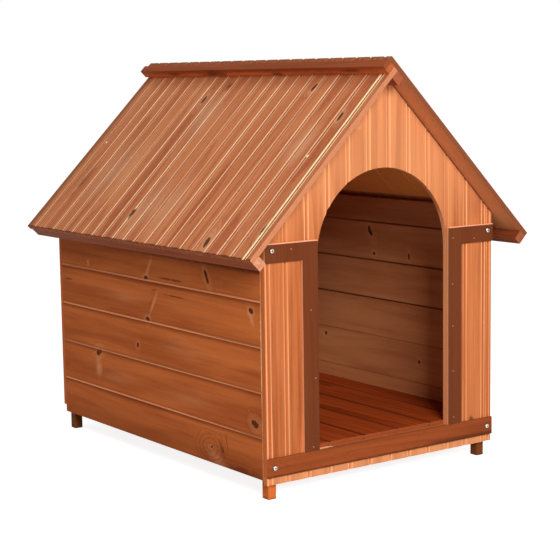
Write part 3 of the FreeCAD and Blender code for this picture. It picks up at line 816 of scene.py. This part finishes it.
# The ridge strip's stain is painted lighter than the others to make up for the shade on its lower
# face.
LIGHTENED_STRIP_STAIN = stain((246, 124, 66), (170, 76, 40), (200, 130, 90))
TRIM_STAIN = stain((116, 60, 33), (98, 46, 23), (240, 180, 140))
LOW_TRIM_STAIN = stain((160, 80, 40), (120, 54, 24), (240, 180, 140))
print("stains ready")

# %% Materials
ROOF_HALVES = (tuple(a + c for a, c in zip(X, Z)), APEX - 0.0002, 0)
LEFT_AND_RIGHT = (X, 0.0, 0)
FRONT_AND_REAR = (Y, 0.0, 1)
# The backs of the roof boards are painted lighter to make up for the shade under the roof.
roof_wood = stained_wood(
    "roof boards", (UP_SLOPE, Y, OFF_SLOPE), ROOF_STAIN, ROOF_HALVES,
    (FIRST_ROOF_JOINT, PLAIN_COVER), (FIRST_ROOF_JOINT, PLAIN_COVER / 2), worn=1.0, seed=3,
    gloss=0.03, streaky=0.16, speckled=0.2, cloudy=0.13, knots=ROOF_KNOTS, haze=ROOF_HAZE,
    dark_marks=ROOF_MARKS, ends=(132, 70, 42), back=((214, 142, 94), (180, 112, 68)),
    extra=roof_extra)
gable_wood = stained_wood(
    "gable boards", (Z, X, Y), GABLE_STAIN, FRONT_AND_REAR, (FIRST_GABLE_JOINT, GABLE_COVER),
    (FIRST_GABLE_JOINT, GABLE_COVER / 2), bead=HALF_WIDTH - EDGE_BEAD, seed=17, knots=GABLE_KNOTS,
    dark_marks=GABLE_MARKS, contrast=0.42, streaky=0.34, cloudy=0.18, ring=0.0055,
    vee_dark=(190, 100, 54), ends=(180, 104, 62), back=((190, 112, 66), (150, 78, 42)),
    extra=gable_extra)
wall_wood = stained_wood(
    "wall boards", (Y, Z, X), WALL_STAIN, LEFT_AND_RIGHT, (FIRST_WALL_JOINT, PLAIN_COVER),
    seed=61, gloss=0.03, rough=0.6, contrast=0.11, streaky=0.09, ring=0.005, cloudy=0.4,
    knots=WALL_KNOTS, haze=WALL_HAZE, pale_marks=WALL_PALE, dark_marks=WALL_MARKS,
    swirls=WALL_SWIRLS, clear_joints=(0.21, 0.28), ends=(240, 160, 104),
    back=((214, 142, 92), (160, 88, 48)), extra=wall_extra)
floor_wood = stained_wood("floor boards", (Y, X, Z), FLOOR_STAIN, WHOLE,
                          (PLAIN_COVER / 2, PLAIN_COVER), seed=90, ends=(150, 80, 45))
post_wood = stained_wood("post wood", (Z, X, Y), POST_STAIN, FRONT_AND_REAR, seed=120,
                         extra=post_extra)
batten_wood = stained_wood("batten wood", (Y, X, Z), BATTEN_STAIN, seed=140, ends=(166, 92, 62))
eave_wood = stained_wood("eave batten wood", (Y, X, Z), BATTEN_STAIN, seed=142,
                         ends=(222, 156, 122))
rail_wood = stained_wood("top rail wood", (Y, X, Z), RAIL_STAIN, seed=144)
strip_wood = stained_wood("ridge strip wood", (Y, UP_SLOPE, DOWN_LEFT), LIGHTENED_STRIP_STAIN, seed=145,
                          dark_marks=STRIP_MARKS, cloudy=0.4, ends=(150, 82, 52),
                          extra=strip_extra)
bearer_wood = stained_wood("bearer wood", (X, Y, Z), BATTEN_STAIN, seed=150)
trim_wood = stained_wood("trim wood", (Z, X, Y), TRIM_STAIN, FRONT_AND_REAR, seed=160,
                         contrast=0.15, ends=(226, 160, 120), edges=(255, 190, 144),
                         extra=trim_extra)
low_trim_wood = stained_wood("low trim wood", (X, Z, Y), LOW_TRIM_STAIN, FRONT_AND_REAR, seed=170,
                             contrast=0.25, cloudy=0.45, speckled=0.15, ends=(190, 110, 70),
                             edges=(140, 66, 32), extra=low_trim_extra)
print(len(bpy.data.materials), "materials")

# %% [markdown]
# ## Zinc and dull metal
# The screws are bright with zinc. A screw head has painted shade around its rim, where it meets
# the wood, and in the cross that takes the driver, so the shader measures the distance to the
# middle of the nearest head. The nails of the walls and trims were stained with the wood, and
# those of the roof are pale and not metallic.

# %% Zinc and dull metal
HEAD_SHADE = paint(70, 62, 54)


def zinc_plate():
    """Bright zinc of the screws."""
    material, tree, shader = new_material("zinc plate")
    place = add_node(tree, "ShaderNodeTexCoord").outputs["Object"]
    spots = noise(tree, place, (900, 900, 900), detail=2)
    colour = blend_colour(tree, spots, paint(236, 234, 226), paint(190, 188, 178))
    x, y, z = split(tree, place)
    rear = sums(tree, "GREATER_THAN", y, 0.0)
    low = sums(tree, "MULTIPLY_ADD", rear, REAR_SCREW - LOW_SCREW, LOW_SCREW)
    rise = sums(tree, "MINIMUM", *[apart(tree, z, height) for height in (low, ARM_SCREW)])
    step = apart(tree, sums(tree, "ABSOLUTE", x), SCREW_X)
    away = slant_length(tree, rise, step)
    rim = product(tree, between(tree, away, 0.0038, 0.0044),
                  between(tree, away, 0.0054, 0.0058, 1, 0))
    arms = between(tree, sums(tree, "MINIMUM", rise, step), 0.0005, 0.0008, 1, 0)
    cross = product(tree, arms, between(tree, away, 0.0028, 0.0032, 1, 0))
    # Painted shade: a contact shadow around the rim of each head and shade in its cross.
    colour = blend_colour(tree, sums(tree, "MAXIMUM", rim, cross), colour, HEAD_SHADE)
    feed(tree, shader.inputs["Base Color"], colour)
    feed(tree, shader.inputs["Roughness"], between(tree, spots, 0.3, 0.7, 0.25, 0.4))
    shader.inputs["Metallic"].default_value = 1.0
    return material


def dull_metal(name, light, dark):
    """Pale or stained metal of a nail, with spots of two tones."""
    material, tree, shader = new_material(name)
    place = add_node(tree, "ShaderNodeTexCoord").outputs["Object"]
    spots = between(tree, noise(tree, place, (1500, 1500, 1500), detail=2), 0.4, 0.6)
    feed(tree, shader.inputs["Base Color"], blend_colour(tree, spots, paint(*light), paint(*dark)))
    feed(tree, shader.inputs["Roughness"], between(tree, spots, 0, 1, 0.4, 0.6))
    return material


zinc = zinc_plate()
stained_nail = dull_metal("nail under the stain", (176, 112, 82), (144, 90, 64))
bare_nail = dull_metal("pale roof nail", (255, 240, 206), (216, 190, 150))
print("metals ready")

# %% Dress the pieces
FINISHES = {
    "roof_board": roof_wood, "front_board": gable_wood, "sill_board": gable_wood,
    "rear_boards": gable_wood, "wall_board": wall_wood, "floor_boards": floor_wood,
    "post": post_wood, "top_rail": rail_wood, "ridge_beam": batten_wood,
    "left_eave_batten": eave_wood, "right_eave_batten": batten_wood,
    "ridge_strip": strip_wood, "gable_battens": batten_wood, "floor_bearers": bearer_wood,
    "door_trim": trim_wood, "low_trim": low_trim_wood, "panel_screws": zinc,
}
for name, piece in nodes.items():
    finish = next(FINISHES[part] for part in FINISHES if part in name)
    piece.data.materials.clear()
    piece.data.materials.append(finish)
print("dressed", len(nodes), "pieces")

# %% [markdown]
# ## Nail heads
# The boards are nailed to the battens and posts, and the trims to the panel. Only the small
# domed heads show. One head is modelled from a disc that is raised twice and drawn in at its
# top; the others are copies of it, each with a mesh of its own that is turned to its surface.
# The places on the left slope, the left wall and the trims are read from the photograph. The
# right slope and wall, which are out of sight there, get the same nails.

# %% One nail head
NAIL_RADIUS = 0.0016
NAIL_RISE = 0.0006
NAIL_SIDES = 12
ROOF_NAIL_SCALE = 1.9


def model_nail():
    """Domed head that starts a little below the wood."""
    bpy.ops.object.select_all(action="DESELECT")
    bpy.ops.mesh.primitive_circle_add(vertices=NAIL_SIDES, radius=NAIL_RADIUS,
                                      fill_type="NGON", location=(0, 0, 0))
    head = bpy.context.object
    bpy.ops.object.mode_set(mode="EDIT")
    bpy.ops.mesh.select_all(action="SELECT")
    bpy.ops.transform.translate(value=(0, 0, -NAIL_RISE))
    for rise, scale in ((NAIL_RISE * 1.5, 1.0), (NAIL_RISE * 0.5, 0.6)):
        bpy.ops.mesh.extrude_region_move(TRANSFORM_OT_translate={"value": (0, 0, rise)})
        bpy.ops.transform.resize(value=(scale, scale, 1))
    bpy.ops.mesh.select_all(action="SELECT")
    bpy.ops.mesh.normals_make_consistent(inside=False)
    bpy.ops.object.mode_set(mode="OBJECT")
    return head


def set_nail(head, name, place, out, finish, scale=1.0):
    """Copy of the head, turned to the surface and set at its place."""
    nail = bpy.data.objects.new(name, head.data.copy())
    bpy.context.scene.collection.objects.link(nail)
    turn = Vector(Z).rotation_difference(Vector(out)).to_matrix().to_4x4()
    size = Matrix.Diagonal((scale, scale, scale, 1))
    nail.data.transform(Matrix.Translation(place) @ turn @ size)
    nail.data.materials.append(finish)
    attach(nail, "root")
    return nail


head = model_nail()
print("nail head with", len(head.data.polygons), "faces")

# %% Set the nails
TRIM_NAILS = [
    (-0.2223, 0.4624), (-0.1786, 0.3463), (-0.1697, 0.2181), (-0.1762, 0.0883),
    (0.1724, 0.4531), (0.2285, 0.4489), (0.1714, 0.3621), (0.1721, 0.2783), (0.1727, 0.1877),
    (0.1745, 0.0942),
]
WALL_NAILS = [
    (0.3249, 0.345), (-0.2524, 0.3928), (0.3519, 0.0829), (0.2523, 0.0815), (-0.3371, 0.1614),
]
ROOF_NAILS = [(0.3327, 0.375), (0.3255, -0.3743)]
nails = []
for number, (x, z) in enumerate(TRIM_NAILS, 1):
    nails.append(set_nail(head, f"trim_nail_{number}", (x, TRIM_FACE, z), (0, -1, 0), stained_nail))
for side, word in ((-1, "left"), (1, "right")):
    for number, (y, z) in enumerate(WALL_NAILS, 1):
        place, out = (side * HALF_WIDTH, y, z), (side, 0, 0)
        nails.append(set_nail(head, f"{word}_wall_nail_{number}", place, out, stained_nail))
    for number, (up, y) in enumerate(ROOF_NAILS, 1):
        down = SLOPE_HIGH - up
        x, z = (down + BOARD) * HALF, APEX - (down - BOARD) * HALF
        place, out = (side * x, y, z), (side * HALF, 0, HALF)
        nails.append(set_nail(head, f"{word}_roof_nail_{number}", place, out, bare_nail,
                              ROOF_NAIL_SCALE))
bpy.data.objects.remove(head)
print("set", len(nails), "nails")

# %% [markdown]
# ## Studio
# The house stands on a white floor in front of a white world. The world lights everything a
# little, a large soft lamp at the right of the camera lights the front, and a second one above
# lights the roof. The camera sees plain white behind the house, and so do the zinc screws that
# mirror the room. The wood is matt, so the white room lays no veil over its dark knots.

# %% Floor and world
WHITE = (1, 1, 1, 1)
PAPER = (0.8, 0.8, 0.8, 1)
PAPER_GLOW = 0.86        # what the camera sees of the paper besides the light on it
SKY_LIGHT = 0.22         # strength of the world's light; the camera sees it at 1
STUDIO_SIZE = 120
FLOOR_DROP = 0.0005      # keeps the paper just below the feet


def seen_directly(tree):
    """1 for rays from the camera, from a mirror or through glass, 0 for light."""
    ray = add_node(tree, "ShaderNodeLightPath").outputs
    shown = sums(tree, "MAXIMUM", ray["Is Camera Ray"], ray["Is Transmission Ray"])
    return sums(tree, "MAXIMUM", shown, ray["Is Glossy Ray"])


def white_floor():
    """White paper that keeps a soft shadow."""
    material, tree, shader = new_material("studio paper")
    shader.inputs["Base Color"].default_value = PAPER
    shader.inputs["Roughness"].default_value = 0.9
    shader.inputs["Specular IOR Level"].default_value = 0.0
    glow = product(tree, seen_directly(tree), PAPER_GLOW)
    shader.inputs["Emission Color"].default_value = WHITE
    feed(tree, shader.inputs["Emission Strength"], glow)
    return material


bpy.ops.object.select_all(action="DESELECT")
bpy.ops.mesh.primitive_plane_add(size=STUDIO_SIZE, location=(0, 0, -FLOOR_DROP))
floor = bpy.context.object
floor.name = "studio_floor"
floor.data.materials.append(white_floor())

world = bpy.data.worlds.new("studio")
bpy.context.scene.world = world
world.use_nodes = True
sky = world.node_tree
background = sky.nodes["Background"]
background.inputs["Color"].default_value = WHITE
strength = between(sky, seen_directly(sky), 0.0, 1.0, SKY_LIGHT, 1.0)
feed(sky, background.inputs["Strength"], strength)
bpy.context.scene.view_settings.view_transform = "Standard"
print("floor and world ready")

# %% Lamps
def soft_lamp(name, place, target, size, power):
    """Square lamp that looks at a point."""
    data = bpy.data.lights.new(name, "AREA")
    data.shape = "SQUARE"
    data.size = size
    data.energy = power
    lamp = bpy.data.objects.new(name, data)
    bpy.context.scene.collection.objects.link(lamp)
    lamp.location = place
    lamp.rotation_euler = (Vector(target) - Vector(place)).to_track_quat("-Z", "Y").to_euler()
    return lamp


soft_lamp("front lamp", (-1.4, -4.0, 2.3), (0, -0.3, 0.4), 1.6, 185)
soft_lamp("roof lamp", (-0.6, -0.3, 3.8), (0, 0, 0.5), 2.2, 14)
print("lamps ready")
